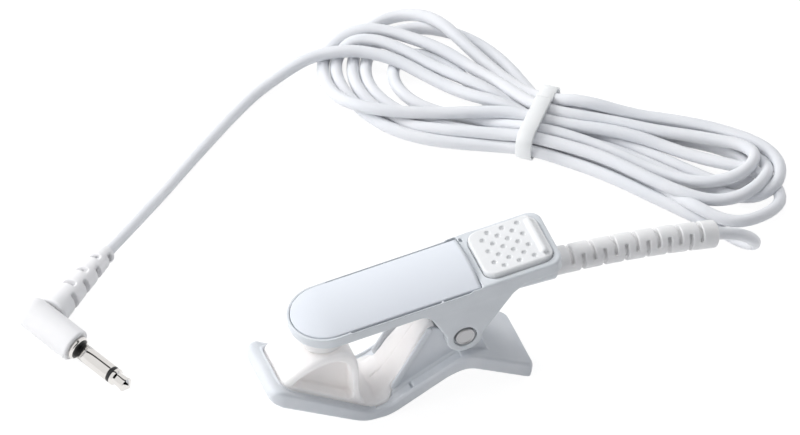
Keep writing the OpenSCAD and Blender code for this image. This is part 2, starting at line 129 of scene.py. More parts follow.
def place(name, verts, faces, body, finish, stands_for=()):
    """Points in millimetres, divided by 1000, and faces become a piece that rides on a body.
    The solids that it stands for are hidden behind it, and get its finish."""
    mesh = bpy.data.meshes.new(name)
    mesh.from_pydata((np.asarray(verts) / 1000).tolist(), [], faces)
    mesh.update()
    mesh.polygons.foreach_set("use_smooth", np.ones(len(mesh.polygons), bool))
    mesh.materials.append(finish)
    obj = bpy.data.objects.new(name, mesh)
    bpy.context.scene.collection.objects.link(obj)
    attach(obj, body)
    if stands_for:
        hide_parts(*stands_for)
    for node_name in stands_for:
        finish_solid(node_name, finish)
    print(name, len(mesh.vertices), "points,", len(mesh.polygons), "faces")
    return obj


def net(rows, cols, close_cols=False):
    """Quads of a grid of points: row i, column j is joined to the next row and column, and
    the last column to the first where they close."""
    i = np.arange(rows - 1)
    j = np.arange(cols if close_cols else cols - 1)
    i, j = [a.ravel() for a in np.meshgrid(i, j, indexing="ij")]
    next_j = (j + 1) % cols
    return np.stack([i * cols + j, (i + 1) * cols + j, (i + 1) * cols + next_j, i * cols + next_j], 1)


print("helpers ready; white in linear light is", linear("#ffffff"))

# %% [markdown]
# ## Finishes
# Nearly all of the pickup is white plastic, so the finishes differ in gloss and grain.
# Moulded ABS is hard and a little glossy. PVC is softer and duller. The pad is a milky
# elastomer that lets some light in. A flat white would look like plaster, so each has
# two near tones in soft clouds, a gloss that follows them, and the fine grain that the
# mould was cut with. All of it reads the piece's own millimetres, so it never slides.

# %% What all finishes share
def grained(name, tone, cloud_mm, rough_low, rough_high, grain_mm, depth_mm, settings):
    """A finish in its piece's own millimetres: noise of cloud_mm is coloured by tone and moves
    the roughness from low to high, and noise of grain_mm is bump of depth_mm."""
    m = bpy.data.materials.new(name)
    t = blank(m)
    where = add(t, "TexCoord").outputs["Object"]
    cloud = add(t, "TexNoise", {"Scale": 1000 / cloud_mm, "Detail": 3.0}, {"Vector": where})
    grain = add(t, "TexNoise", {"Scale": 1000 / grain_mm, "Detail": 2.0}, {"Vector": where})
    gloss = add(t, "MapRange", {"To Min": rough_low, "To Max": rough_high},
                {"Value": cloud.outputs["Fac"]})
    bump = add(t, "Bump", {"Strength": 1.0, "Distance": depth_mm / 1000},
               {"Height": grain.outputs["Fac"]})
    surface = add(t, "BsdfPrincipled", settings,
                  {"Base Color": tone(t, cloud.outputs["Fac"]).outputs["Color"],
                   "Roughness": gloss.outputs["Result"], "Normal": bump.outputs["Normal"]})
    add(t, "OutputMaterial", {}, {"Surface": surface.outputs["BSDF"]})
    return m


print("a cloud of 6 mm has the noise scale", round(1000 / 6.0, 1))

# %% Moulded plastics
def moulded(name, hex_a, hex_b, rough, grain_mm, depth_mm, cloud_mm=6.0, coat=0.0, soft=0.0,
            soft_mm=1.0, glow=0.0):
    """A moulded plastic: a ramp over the middle of the cloud mixes two near tones. soft is
    the share of light that scatters soft_mm inside."""
    def tone(t, cloud):
        """A ramp with a tone at each end."""
        ramp = add(t, "ValToRGB", {}, {"Fac": cloud})
        for stop, position, tint in zip(ramp.color_ramp.elements, (0.35, 0.65), (hex_a, hex_b)):
            stop.position = position
            stop.color = linear(tint)
        return ramp

    return grained(name, tone, cloud_mm, rough - 0.015, rough + 0.02, grain_mm, depth_mm,
                   {"IOR": 1.52, "Coat Weight": coat, "Coat Roughness": 0.12,
                    "Subsurface Weight": soft, "Subsurface Radius": (soft_mm / 1000,) * 3,
                    "Subsurface Scale": 1.0, "Emission Strength": glow})


# ABS from a polished mould: the arm has a broad, clear highlight
arm_abs = moulded("white ABS, polished mould", "#d6dade", "#dbdfe3", 0.30, 0.5, 0.004)
# the cover is sprayed with a pearly lacquer: the smoothest piece, with a cool, even sheen
cover_abs = moulded("white ABS, pearl lacquer", "#dde1e8", "#dfe3e9", 0.42, 0.35, 0.001, 40.0, 0.08)
# the jaw's mould was satin, so its highlight is wider and greyer
jaw_abs = moulded("white ABS, satin mould", "#d9dde2", "#dfe2e6", 0.38, 0.45, 0.006)
# soft-touch rubber is dull, so the thumb pad's dimples read as plain grey dots
pad_rubber = moulded("white soft-touch rubber", "#e7e8e9", "#ecedee", 0.46, 0.4, 0.006)
# cast polyurethane is matt and a little warm
foot_rubber = moulded("white polyurethane rubber", "#e9e8e8", "#eeedec", 0.5, 0.4, 0.006)
# a milky elastomer: light comes out 3 mm from where it went in, which softens each edge,
# and the small glow stands for light that came through from the far side
milky_tpe = moulded("milky thermoplastic elastomer", "#eeeae9", "#f3f0ee", 0.30, 0.6, 0.006, 9.0,
                    soft=1.0, soft_mm=3.0, glow=0.1)
# the cord's PVC is drawn smooth, and shows a soft line of light along each turn
cord_pvc = moulded("white PVC cord", "#e4e6ea", "#e9eaed", 0.40, 0.6, 0.004, 9.0, soft=0.15, soft_mm=0.6)
# the boots' PVC is softer and duller, so that their slots stay pale inside
boot_pvc = moulded("white soft PVC", "#ededed", "#f1f0f0", 0.44, 0.5, 0.005, soft=0.3, soft_mm=0.8)
plug_pvc = moulded("white moulded PVC", "#ececed", "#f0eff0", 0.42, 0.5, 0.005, soft=0.25, soft_mm=0.8)
# polyethylene is the whitest, and faintly waxy
tie_pe = moulded("white polyethylene band", "#eff1f1", "#f3f4f4", 0.36, 0.4, 0.006, soft=0.4, soft_mm=0.8)
# acetal is a hard, slippery plastic, black in the plug's insulating ring between sleeve and tip; the same
# black on the thin ring where the collar meets the sleeve is painted shade
ring_black = moulded("black acetal, and painted shade", "#17181a", "#1d1e20", 0.35, 0.3, 0.003)
# open foam swallows the light: rough, with 1 mm clouds
foam_grey = moulded("grey foam tape", "#5d5f63", "#6b6e72", 0.85, 0.25, 0.05, 1.0)
# the wires' thin insulation is glossy and strong in colour
wire_red = moulded("red insulated wire", "#a8211c", "#b52a22", 0.4, 0.3, 0.004)
wire_black = moulded("black insulated wire", "#1b1c1f", "#232427", 0.4, 0.3, 0.004)
# fired ceramic under a thin coat of silver: pale grey and even
disc_ceramic = moulded("silvered piezo ceramic", "#b9b8b3", "#c6c5bf", 0.5, 0.3, 0.004)
print(len(bpy.data.materials), "plastics")

# %% [markdown]
# ## Metals
# A metal shows what stands round it, so its tone says little and its gloss says much.
# Nickel plate is a warm grey mirror, a ground pin is duller, and sheet brass is yellow.
# The metals keep the default IOR, and the metallic setting makes their brightness.

# %% Metals
def metal(name, hex_a, hex_b, rough, grain_mm, depth_mm):
    """A metal: clouds of 2.5 mm mix two near tones evenly and let the gloss wander, and the
    bump is what fine grinding leaves."""
    def tone(t, cloud):
        """A mix of the two tones."""
        tones = {"Color1": linear(hex_a), "Color2": linear(hex_b)}
        return add(t, "MixRGB", tones, {"Fac": cloud})

    return grained(name, tone, 2.5, rough - 0.04, rough + 0.06, grain_mm, depth_mm, {"Metallic": 1.0})


# plated on turned brass: nearly a mirror, a little warm
nickel = metal("nickel plated brass", "#e2dfdc", "#e8e5e2", 0.10, 0.3, 0.0005)
# ground and faced: its end is grey and even
pin_steel = metal("ground stainless steel", "#a9a9ab", "#b4b4b6", 0.3, 0.25, 0.002)
# cold-drawn wire, dark and half glossy
spring_steel = metal("spring steel wire", "#9a9b9d", "#a8a9ab", 0.3, 0.3, 0.002)
# tin on thin steel sheet, pale and soft in its gloss
crimp_steel = metal("tinned steel", "#b5b6b8", "#c2c3c4", 0.35, 0.3, 0.003)
# rolled sheet, yellow, with wide highlights
brass = metal("sheet brass", "#c8a355", "#d1ad60", 0.28, 0.3, 0.002)
print(len(bpy.data.materials), "finishes")

# %% [markdown]
# ## The cord
# It is one length of thin PVC cord, from the mouth of the arm to the plug.
# The spare length is folded into a hank: five turns at each end, tied at the waist.
# Eleven strands pass the tie in two layers, and they cross as a hand left them.
# A coil from a formula would be too neat for that. So the route is a row of points that
# never come nearer than a cord's thickness, with a round profile swept along them.

# %% The cord's route
# points in tenths of a millimetre, about 4.6 mm apart
route = """
300 0 220, 346 0 218, 392 0 214, 438 0 210, 483 0 204, 529 0 198, 574 0 190, 619 0 181,
663 0 169, 703 4 145, 729 17 111, 742 41 74, 746 70 44, 739 106 20, 719 148 13, 694 192 13,
666 232 13, 640 270 13, 616 304 13, 590 342 13, 562 379 13, 532 414 13, 501 447 13, 467 479 15,
431 507 16, 392 531 13, 351 552 13, 310 574 13, 271 598 13, 236 627 13, 206 662 13, 184 702 13,
170 746 13, 162 791 13, 165 837 13, 183 878 17, 221 893 33, 263 874 38, 296 842 36, 323 806 33,
349 768 31, 376 730 34, 403 694 36, 431 658 30, 460 624 18, 493 593 17, 530 567 26, 571 548 33,
612 528 27, 650 504 17, 688 479 13, 727 454 13, 765 428 13, 801 399 13, 832 366 13, 854 326 17,
861 282 29, 849 241 43, 813 213 45, 769 205 39, 725 217 36, 688 244 37, 658 279 37, 631 316 36,
605 354 36, 578 391 36, 548 426 36, 515 458 36, 479 487 38, 442 515 39, 404 540 34, 365 564 31,
326 588 27, 288 614 22, 253 643 16, 225 679 13, 204 720 13, 192 764 13, 192 810 13, 206 853 13,
230 893 13, 261 927 13, 302 946 13, 346 941 18, 380 913 30, 403 874 36, 420 831 32, 436 789 25,
452 745 22, 467 702 22, 483 659 27, 501 618 36, 529 583 47, 566 557 56, 604 532 53, 642 508 44,
681 484 38, 720 461 37, 758 435 37, 795 407 37, 828 375 38, 858 340 39, 879 299 40, 882 254 40,
859 215 37, 818 208 23, 779 231 14, 746 262 13, 715 296 13, 686 332 13, 658 369 13, 630 405 13,
600 440 13, 567 472 13, 531 500 13, 493 526 15, 460 558 14, 437 597 13, 421 640 13, 410 685 13,
399 730 13, 383 773 13, 360 812 13, 321 836 13, 281 818 13, 265 776 13, 271 730 13, 292 690 13,
324 657 13, 360 628 13, 395 599 15, 427 568 25, 459 537 37, 496 509 38, 532 481 34, 566 450 30,
596 416 28, 624 379 26, 652 343 26, 682 308 29, 716 278 34, 762 259 40, 813 260 50, 844 293 50,
831 337 41, 791 371 37, 754 398 36, 715 423 36, 677 449 36, 640 477 37, 603 503 38, 563 526 42,
525 551 44, 493 584 43, 472 625 40, 455 667 35, 434 708 31, 412 748 31, 389 788 34, 362 825 35,
331 859 35, 297 890 36, 257 913 36, 214 921 27, 173 905 15, 147 867 13, 137 823 14, 139 777 20,
155 736 30, 184 701 37, 222 676 38, 264 656 37, 307 639 36, 350 624 36, 393 608 38, 434 587 41,
471 561 41, 509 534 38, 547 509 36, 586 484 37, 624 458 36, 660 430 33, 694 399 28, 726 367 26,
759 335 27, 793 303 31, 830 273 30, 859 232 22, 854 180 20, 802 148 30, 747 142 38, 711 172 38,
687 214 36, 665 266 20, 641 312 14, 615 352 13, 588 389 13, 559 425 13, 527 458 13, 494 489 14,
458 519 15, 421 546 13, 383 572 13, 346 598 13, 309 626 13, 275 656 13, 246 692 13, 225 733 13,
215 778 13, 221 823 13, 243 863 13, 278 892 13, 322 906 13, 367 899 13, 407 876 13, 439 843 13,
464 805 13, 482 762 13, 494 718 13, 502 673 13, 511 628 14, 535 589 14, 564 554 13, 594 519 13,
629 489 13, 667 463 13, 706 438 13, 744 413 13, 780 385 13, 813 352 13, 834 312 13, 823 271 13,
780 267 13, 746 298 13, 718 334 13, 690 371 13, 661 407 13, 632 442 13, 600 475 13, 566 505 13,
528 532 13, 492 560 18, 461 593 28, 429 624 36, 396 657 33, 368 692 28, 341 730 27, 315 768 29,
287 804 34, 254 835 37, 215 859 39, 171 873 38, 126 881 32, 81 873 25, 38 861 17, -4 843 14,
-43 819 13, -81 793 13, -118 766 13, -155 739 13, -191 712 13, -228 684 13, -264 656 13, -300 628 15,
-335 599 20, -370 570 25, -406 541 30, -441 513 34, -477 484 36, -513 456 39, -549 428 41, -585 399 43
"""
route = np.array(route.replace(",", " ").split(), float).reshape(-1, 3) / 10
print(len(route), "points on the route, in millimetres")

# %% Lines and swept profiles
def through(points, n):
    """Smooth line through the points: between two of them a cubic, whose slope at each is
    half the step from the point before to the point after."""
    p = np.vstack([2 * points[0] - points[1], points, 2 * points[-1] - points[-2]])
    a, b, c, d = (p[k:len(p) - 3 + k, None, :] for k in range(4))
    t = (np.arange(n) / n)[None, :, None]
    line = 0.5 * (2 * b + (c - a) * t + (2 * a - 5 * b + 4 * c - d) * t ** 2
                  + (3 * b - a - 3 * c + d) * t ** 3)
    return np.vstack([line.reshape(-1, 3), points[-1:]])


def calm(points, times):
    """Evens out the rounding of the numbers: each point becomes half itself and a quarter
    of each of its neighbours."""
    for _ in range(times):
        mid = points[1:-1] * 0.5 + (points[:-2] + points[2:]) * 0.25
        points = np.vstack([points[:1], mid, points[-1:]])
    return points


def sweep(line, radius, sides):
    """Round profile of a radius along a line: centre + r(cos a * side + sin a * up)."""
    ahead = np.gradient(line, axis=0)
    ahead /= np.linalg.norm(ahead, axis=1)[:, None]
    side = np.cross(ahead, np.array([0.0, 0.0, 1.0]) + 0.001 * ahead[:, [1, 2, 0]])
    side /= np.linalg.norm(side, axis=1)[:, None]
    up = np.cross(side, ahead)
    a = (np.arange(sides) * 2 * np.pi / sides)[:, None]
    ring = line[:, None] + radius * (np.cos(a) * side[:, None] + np.sin(a) * up[:, None])
    verts = ring.reshape(-1, 3)
    faces = net(len(line), sides, close_cols=True)[:, ::-1].tolist()
    faces += [list(range(sides)), list(range(len(verts) - 1, len(verts) - sides - 1, -1))]
    return verts, faces


print("a line through 3 points, with 4 steps each, has", len(through(np.eye(3), 4)), "points")

# %% The cord itself
cord_thick = 2.5
cord_line = calm(through(route, 4), 2)
verts, faces = sweep(cord_line, cord_thick / 2, 18)
cord = place("cord", verts, faces, "clip_body", cord_pvc,
             ("cord_exit", "cord_hank", "cord_lead"))

# %% [markdown]
# ## Carving rounded mouldings
# The arm, the jaw, the pads and the boots are mouldings whose forms run into each other
# with fillets. One surface of two parameters can't hold an ear, a hole and a rim at once.
# So each is written as a distance: negative inside, positive outside, zero on the skin.
# Joining two distances with a radius makes a fillet, and meeting them a round edge.
# The skin is then found on a grid, in whole arrays, and lies on the zero everywhere.

# %% Distances that join, meet and cut
def join(a, b, r):
    """Union with a fillet: the lower distance, rounded within r of the corner."""
    return np.maximum(r, np.minimum(a, b)) - np.hypot(np.maximum(r - a, 0), np.maximum(r - b, 0))


def meet(a, b, r):
    """Overlap with a round edge: the higher distance, rounded within r of the edge."""
    return np.minimum(-r, np.maximum(a, b)) + np.hypot(np.maximum(a + r, 0), np.maximum(b + r, 0))


def cut(a, b, r):
    """Takes b out of a, with a round edge: a meets the outside of b."""
    return meet(a, -b, r)


def outline(u, v, points):
    """Distance to a closed outline: to the nearest of its edges, negative inside."""
    p = np.asarray(points, float)
    near = np.full(np.broadcast(u, v).shape, 1e9)
    inside = np.zeros(near.shape, bool)
    for (a, b), (c, d) in zip(p, np.roll(p, -1, 0)):
        t = np.clip(((u - a) * (c - a) + (v - b) * (d - b)) / ((c - a) ** 2 + (d - b) ** 2), 0, 1)
        near = np.minimum(near, (u - a - t * (c - a)) ** 2 + (v - b - t * (d - b)) ** 2)
        if b != d:
            inside ^= ((b > v) != (d > v)) & (u < a + (c - a) * (v - b) / (d - b))
    return np.where(inside, -1, 1) * np.sqrt(near)


def rounded(points, step, times=2):
    """A closed outline with its corners rounded alike: its edges are split to the step, then
    each corner is cut off at a quarter of its edges, times over."""
    p = np.asarray(points, float)
    parts = []
    for a, b in zip(p, np.roll(p, -1, 0)):
        count = max(1, int(np.hypot(*(b - a)) / step))
        parts.append(a + (b - a) * np.linspace(0, 1, count, endpoint=False)[:, None])
    p = np.vstack(parts)
    for _ in range(times):
        q = np.roll(p, -1, 0)
        p = np.stack([p * 0.75 + q * 0.25, p * 0.25 + q * 0.75], 1).reshape(-1, 2)
    return p


def plate(u, v, u0, u1, v0, v1, r):
    """Distance to a rectangle with round corners of radius r: how far past its sides."""
    du = np.abs(u - (u0 + u1) / 2) - (u1 - u0) / 2 + r
    dv = np.abs(v - (v0 + v1) / 2) - (v1 - v0) / 2 + r
    return np.minimum(np.maximum(du, dv), 0) + np.hypot(np.maximum(du, 0), np.maximum(dv, 0)) - r


def slope(field, p, h=0.02):
    """How the distance changes along x, y and z: its difference over a step h both ways."""
    g = [(field(*(p + h * e).T) - field(*(p - h * e).T)) / (2 * h) for e in np.eye(3)]
    return np.stack(g, 1)


print("a join of 1 and 1 with radius 2 is", round(float(join(1.0, 1.0, 2.0)), 3))

# %% The skin of a distance
def skin(field, lo, hi, step):
    """Skin of a distance: one point in every cell of a grid that the zero passes through,
    joined across each crossed grid edge, and then drawn onto the zero along the slope."""
    axes = [np.arange(a - step, b + 2 * step, step) for a, b in zip(lo, hi)]
    n = [len(a) for a in axes]
    f = field(axes[0][:, None, None], axes[1][None, :, None], axes[2][None, None, :])
    f = np.broadcast_to(f, n)
    inside = f < 0
    total = np.zeros([m - 1 for m in n] + [3])
    count = np.zeros([m - 1 for m in n])
    crossed = []
    for k in range(3):
        a = [slice(None)] * 3
        b = [slice(None)] * 3
        a[k] = slice(0, -1)
        b[k] = slice(1, None)
        hit = inside[tuple(a)] != inside[tuple(b)]
        at = np.argwhere(hit)
        fa = f[tuple(a)][hit]
        fb = f[tuple(b)][hit]
        zero = at.astype(float)
        zero[:, k] += fa / (fa - fb)
        crossed.append((at, fa < 0))
        i, j = [m for m in range(3) if m != k]
        for di in (0, 1):
            for dj in (0, 1):
                cell = at.copy()
                cell[:, i] -= di
                cell[:, j] -= dj
                ok = ((cell >= 0) & (cell < np.array(n) - 1)).all(1)
                c = tuple(cell[ok].T)
                np.add.at(total, c, zero[ok])
                np.add.at(count, c, 1)
    used = count > 0
    index = np.full(used.shape, -1)
    index[used] = np.arange(used.sum())
    points = total[used] / count[used][:, None] * step + np.array([a[0] for a in axes])
    quads = []
    for k, (at, low_inside) in enumerate(crossed):
        i, j = [(1, 2), (2, 0), (0, 1)][k]
        ring = []
        for di, dj in ((0, 0), (1, 0), (1, 1), (0, 1)):
            c = at.copy()
            c[:, i] -= di
            c[:, j] -= dj
            ring.append(index[tuple(c.T)])
        ring = np.stack(ring, 1)
        ring[~low_inside] = ring[~low_inside][:, ::-1]
        quads.append(ring)
    for _ in range(3):
        g = slope(field, points)
        d = field(*points.T)
        points -= np.clip(d / np.maximum((g ** 2).sum(1), 0.2), -step, step)[:, None] * g
    return points, np.vstack(quads).tolist()


fine = 1.0
print("grid step of the arm in mm:", 0.2 * fine)

# %% [markdown]
# ## The upper arm
# One white moulding: a half-round nose, a side wall, two ears for the pin, a raised rim
# round the thumb pad, and a channel below for the cord. The ears grow out of the wall
# with fillets, and every edge is eased, as a mould leaves it. The arm is tilted, so it is
# carved in axes of its own: u along it, y across it and w above it, from the pin.

# %% The arm's own axes
pin_x = 8.65
pin_z = 16.1
tilt = math.radians(4.9)


def frame_axes(u, w):
    """The arm's u and w as the frame's x and z: turned by the tilt, about the pin."""
    c, s = math.cos(tilt), math.sin(tilt)
    return pin_x + u * c - w * s, pin_z + u * s + w * c


def from_arm(u, y, w):
    """Points given along the arm, across it and above it, as points of the frame."""
    x, z = frame_axes(u, w)
    return np.stack([x, y + 0 * u, z], -1)


def nose(u, y, r):
    """Distance to the arm's plan: round before u = -25.3, straight sides after it."""
    return np.where(u < -25.3, np.hypot(u + 25.3, y), np.abs(y) + 0 * u) - r


print("the nose's centre in mm:", from_arm(-25.3, 0.0, 11.4).round(2))

# %% The arm's side views
# x and z of the ear and of the keel that carries the cord's channel, in millimetres
ear_side = rounded([[0.9, 24.6], [3.1, 20.4], [4.75, 17.2], [6, 15], [8.65, 14], [11.0, 14.0],
                    [11.9, 15.3], [20.1, 26.2], [15, 27.5]], 1.2)
keel_side = rounded([[14.85, 25.1], [14.85, 20.7], [19.25, 18.6], [29.8, 18.1], [29.8, 28],
                     [16.65, 27]], 1.2)
arm_half = 7.75     # half the arm's width
wall_low = 8.65     # w of the wall's lower edge
wall_top = 11.4     # w of the rim round the cover
tail_top = 11.9     # w of the rim round the thumb pad
pin_hole = 2.04
cord_bore = 1.32
print("arm width in mm:", 2 * arm_half)

# %% Upper arm
def arm_walls(u, y, w):
    """Wall, tail, ears and keel: plans and side views meet heights, and join with fillets."""
    x, z = frame_axes(u, w)
    ay = np.abs(y)
    wall = meet(meet(nose(u, y, arm_half), wall_low - w, 0.9), w - wall_top, 0.22)
    tail_plan = plate(u, y, 0.7, 21.9, -arm_half, arm_half, 2.7)
    tail = meet(meet(tail_plan, wall_low - w, 0.9), w - tail_top, 0.6)
    body = np.minimum(np.maximum(wall, u - 6), tail)
    round_pin = np.hypot(x - pin_x, z - pin_z) - 3.8
    ear = meet(np.minimum(outline(x, z, ear_side), round_pin), np.abs(ay - 6.72) - 1.0, 0.4)
    body = meet(join(body, ear, 1.6), ay - 7.78, 0.25)
    keel = meet(outline(x, z, keel_side), np.hypot(y, np.minimum(z - 22.1, 0)) - 3.35, 0.5)
    return join(body, keel, 0.5)


def arm_hollows(body, u, y, w):
    """The body less the cover's seat and seam, the chamber, the duct and the pad's seat."""
    ay = np.abs(y)
    body = cut(body, np.maximum(np.maximum(nose(u, y, 7.2), 10.9 - w), u - 4.75), 0.08)
    seam = np.maximum(np.abs(u + 9.05) - 13.65, np.abs(ay - 7.28) - 0.18)
    body = np.maximum(body, -np.maximum(9.2 - w, seam))
    body = np.maximum(body, -np.maximum(np.maximum(nose(u, y, 6.5), 9.85 - w), u - 3.5))
    body = np.maximum(body, -np.maximum(np.hypot(u + 26.5, y) - 3.05, w - 10.5))
    body = cut(body, np.maximum(plate(u, y, 6.1, 20.7, -6.4, 6.4, 2.5), 10.95 - w), 0.4)
    body = cut(body, np.maximum(plate(u, y, 5.0, 5.6, 5.6, 6.6, 0.2), 11.2 - w), 0.1)
    duct = np.maximum(plate(u, y, 2.7, 12.3, -1.6, 1.6, 0.3), np.abs(w - 10.05) - 0.6)
    drop = np.maximum(np.hypot(u - 10.9, y) - 1.4, np.abs(w - 7.1) - 2.5)
    return np.maximum(np.maximum(body, -duct), -drop)


def arm_field(u, y, w):
    """Distance to the arm: walls less hollows, two tabs, the pin's hole, the cord's bore."""
    x, z = frame_axes(u, w)
    body = arm_hollows(arm_walls(u, y, w), u, y, w)
    for spot in (-23.1, -3.6):
        tab = np.maximum(np.maximum(np.abs(u - spot) - 0.25, np.abs(w - 11.1) - 0.3), np.abs(y + 7.2) - 0.3)
        body = np.minimum(body, tab)
    pin = np.hypot(x - pin_x, z - pin_z)
    body = cut(body, pin - pin_hole + 0 * y, 0.12)
    body = cut(body, np.maximum(pin - 2.4, 7.1 - np.abs(y)), 0.08)
    # the cord leaves 2 degrees below the level
    c, s = math.cos(math.radians(2)), math.sin(math.radians(2))
    deep = (x - 30) * c - (z - 22) * s
    off = np.hypot(y, (x - 30) * s + (z - 22) * c)
    body = cut(body, np.maximum(off - 2.86, -3.62 - deep), 0.15)
    return np.maximum(body, -np.maximum(off - cord_bore, np.abs(deep + 4) - 6.5))


verts, faces = skin(arm_field, (-33.4, -8.1, -4.1), (22.3, 8.1, 12.3), 0.2 * fine)
place("arm_moulding", from_arm(*verts.T), faces, "clip_body", arm_abs, ("upper_arm",))

# %% [markdown]
# ## The cover
# A crowned lid, sprayed with pearl lacquer and clipped into the arm. It is bare. Its
# cross-section is the same all along and turns round the nose, so it is one profile
# carried along a U-shaped path, which keeps the crown's shine free of ripples.

# %% The cover's cross-section
def crown(d):
    """Height of the cover d from its middle line: an arc that drops 1.55 at 7.5."""
    r = (7.5 ** 2 + 1.55 ** 2) / (2 * 1.55)
    return 12.95 - r + np.sqrt(r * r - d * d)


top_d = np.linspace(0, 6.75, 24)
turn = np.linspace(0, np.pi / 2, 6)
edge_d = 6.78 + 0.3 * np.sin(turn)
edge_w = crown(6.78) - 0.3 + 0.3 * np.cos(turn)
under_d = np.linspace(6.2, 0, 12)
under_w = crown(under_d) - 1.15 + 0.55 * (under_d / 6.2) ** 8
profile_d = np.concatenate([top_d, edge_d, [7.08, 7.0, 6.5], under_d])
profile_w = np.concatenate([crown(top_d), edge_w, [11.02, 10.95, 10.95], under_w])
print("cover profile of", len(profile_d), "points")

# %% Top cover
straight = np.linspace(4.55, -25.3, 40)
bend = np.linspace(-np.pi / 2, -3 * np.pi / 2, 61)[1:-1]
path_u = np.concatenate([straight, np.full(59, -25.3), straight[::-1]])
path_a = np.concatenate([np.full(40, -np.pi / 2), bend, np.full(40, -3 * np.pi / 2)])
u = path_u[:, None] + np.cos(path_a)[:, None] * profile_d
y = np.sin(path_a)[:, None] * profile_d
points = from_arm(u, y, np.broadcast_to(profile_w, u.shape)).reshape(-1, 3)
rows, cols = u.shape
faces = net(rows, cols).tolist()
faces.append(list(range(cols)) + list(range(rows * cols - 1, (rows - 1) * cols - 1, -1)))
cover = place("cover_lid", points, faces, "clip_body", cover_abs, ("top_cover",))

# %% Merging doubles
def weld(obj, gap=1e-6):
    """Merges points that lie on each other, then turns all faces outwards."""
    b = bmesh.new()
    b.from_mesh(obj.data)
    bmesh.ops.remove_doubles(b, verts=b.verts, dist=gap)
    bmesh.ops.dissolve_degenerate(b, dist=gap, edges=b.edges)
    bmesh.ops.recalc_face_normals(b, faces=b.faces)
    open_edges = sum(1 for e in b.edges if len(e.link_faces) != 2)
    b.to_mesh(obj.data)
    b.free()
    obj.data.update()
    print(obj.name, "open edges:", open_edges)


weld(cover)

# %% [markdown]
# ## The thumb pad and the nose foot
# The pad is a soft square insert with dimples in staggered columns and a ridge behind
# them, which stops the thumb from sliding off. Dimples could be bump only, but they are
# deep enough to see from the side, so they are carved. The foot is a turned shape.

# %% Thumb pad
def ball(a, b, c):
    """Distance to a point: the root of the three squares."""
    return np.sqrt(a ** 2 + b ** 2 + c ** 2)


def thumb_field(u, y, w):
    """Distance to the pad: a round plate joined to a bar, less a ball for each dimple."""
    pad = meet(plate(u, y, 6.2, 20.6, -6.3, 6.3, 2.4), np.abs(w - 11.98) - 0.97, 0.5)
    pad = cut(pad, np.maximum(19.5 - u, 12.45 - w) + 0 * y, 0.3)
    pad = join(pad, meet(np.hypot(u - 18.9, w - 12.7) - 0.8, np.abs(y) - 4.9, 0.5), 0.35)
    hole = np.full(np.broadcast(u, y).shape, 9.0)
    for i in range(6):
        count = 3 if i % 2 == 0 else 4
        for j in range(count):
            across = 3.17 * (j - (count - 1) / 2)
            hole = np.minimum(hole, ball(u - 8.9 - 1.57 * i, y - across, w - 12.85) - 0.54)
    hole = np.minimum(hole, ball(u - 19.2, y + 5.3, w - 12.95) - 0.5)
    return cut(pad, hole, 0.12)


verts, faces = skin(thumb_field, (6.0, -6.5, 10.8), (20.9, 6.5, 13.7), 0.15 * fine)
place("thumb_insert", from_arm(*verts.T), faces, "clip_body", pad_rubber, ("thumb_pad",))

# %% [markdown]
# ## Turned shapes
# The foot, the pin and the plug's metal are round, as a lathe makes them. Each is a
# profile of distances and radii, spun round its axis. That gives true circles.

# %% Spinning a profile
def spun(profile, origin, axis, sides=64):
    """Profile of (distance s, radius r) pairs: origin + s * axis + r(cos a * side + sin a * up)."""
    axis = np.array(axis, float) / np.linalg.norm(axis)
    side = np.cross(axis, [0.0, 0.0, 1.0] if abs(axis[2]) < 0.9 else [1.0, 0.0, 0.0])
    side /= np.linalg.norm(side)
    up = np.cross(axis, side)
    p = np.asarray(profile, float)
    a = np.arange(sides) * 2 * np.pi / sides
    ring = p[:, 1, None, None] * (np.cos(a)[:, None] * side + np.sin(a)[:, None] * up)
    verts = (np.array(origin) + p[:, 0, None, None] * axis + ring).reshape(-1, 3)
    return verts, net(len(p), sides, close_cols=True).tolist()


def arc(centre_s, centre_r, radius, a0, a1, n=7):
    """Points of a quarter round in a profile, from angle a0 to a1 in degrees."""
    a = np.radians(np.linspace(a0, a1, n))
    return [(centre_s + radius * math.cos(t), centre_r + radius * math.sin(t)) for t in a]


print("a quarter round:", np.round(arc(0, 0, 1, 180, 90), 2).tolist())

# %% Nose foot
foot_profile = [(4.3, 0.0), (4.3, 2.0), (4.3, 3.7)] + arc(5.1, 3.7, 0.8, 180, 90)
foot_profile += [(7.4, 4.5), (8.0, 4.55), (8.4, 4.75), (8.6, 5.0), (8.6, 3.0), (9.8, 3.0), (9.8, 0.0)]
up_the_arm = from_arm(0.0, 0.0, 1.0) - from_arm(0.0, 0.0, 0.0)
verts, faces = spun(foot_profile, from_arm(-26.5, 0.0, 0.0), up_the_arm, 96)
foot = place("nose_foot_rubber", verts, faces, "clip_body", foot_rubber, ("nose_foot",))
weld(foot)

# %% [markdown]
# ## The lower jaw
# A zig-zag plate with a raised rim. Two inner webs rise from it to the pin, each with a
# thick bar along its front edge. A shallow groove runs along the rim beside each web.
# The tail is bare. Its side view is one outline and its plan another, and where the two
# distances meet, the plate has its rounded edge all round.

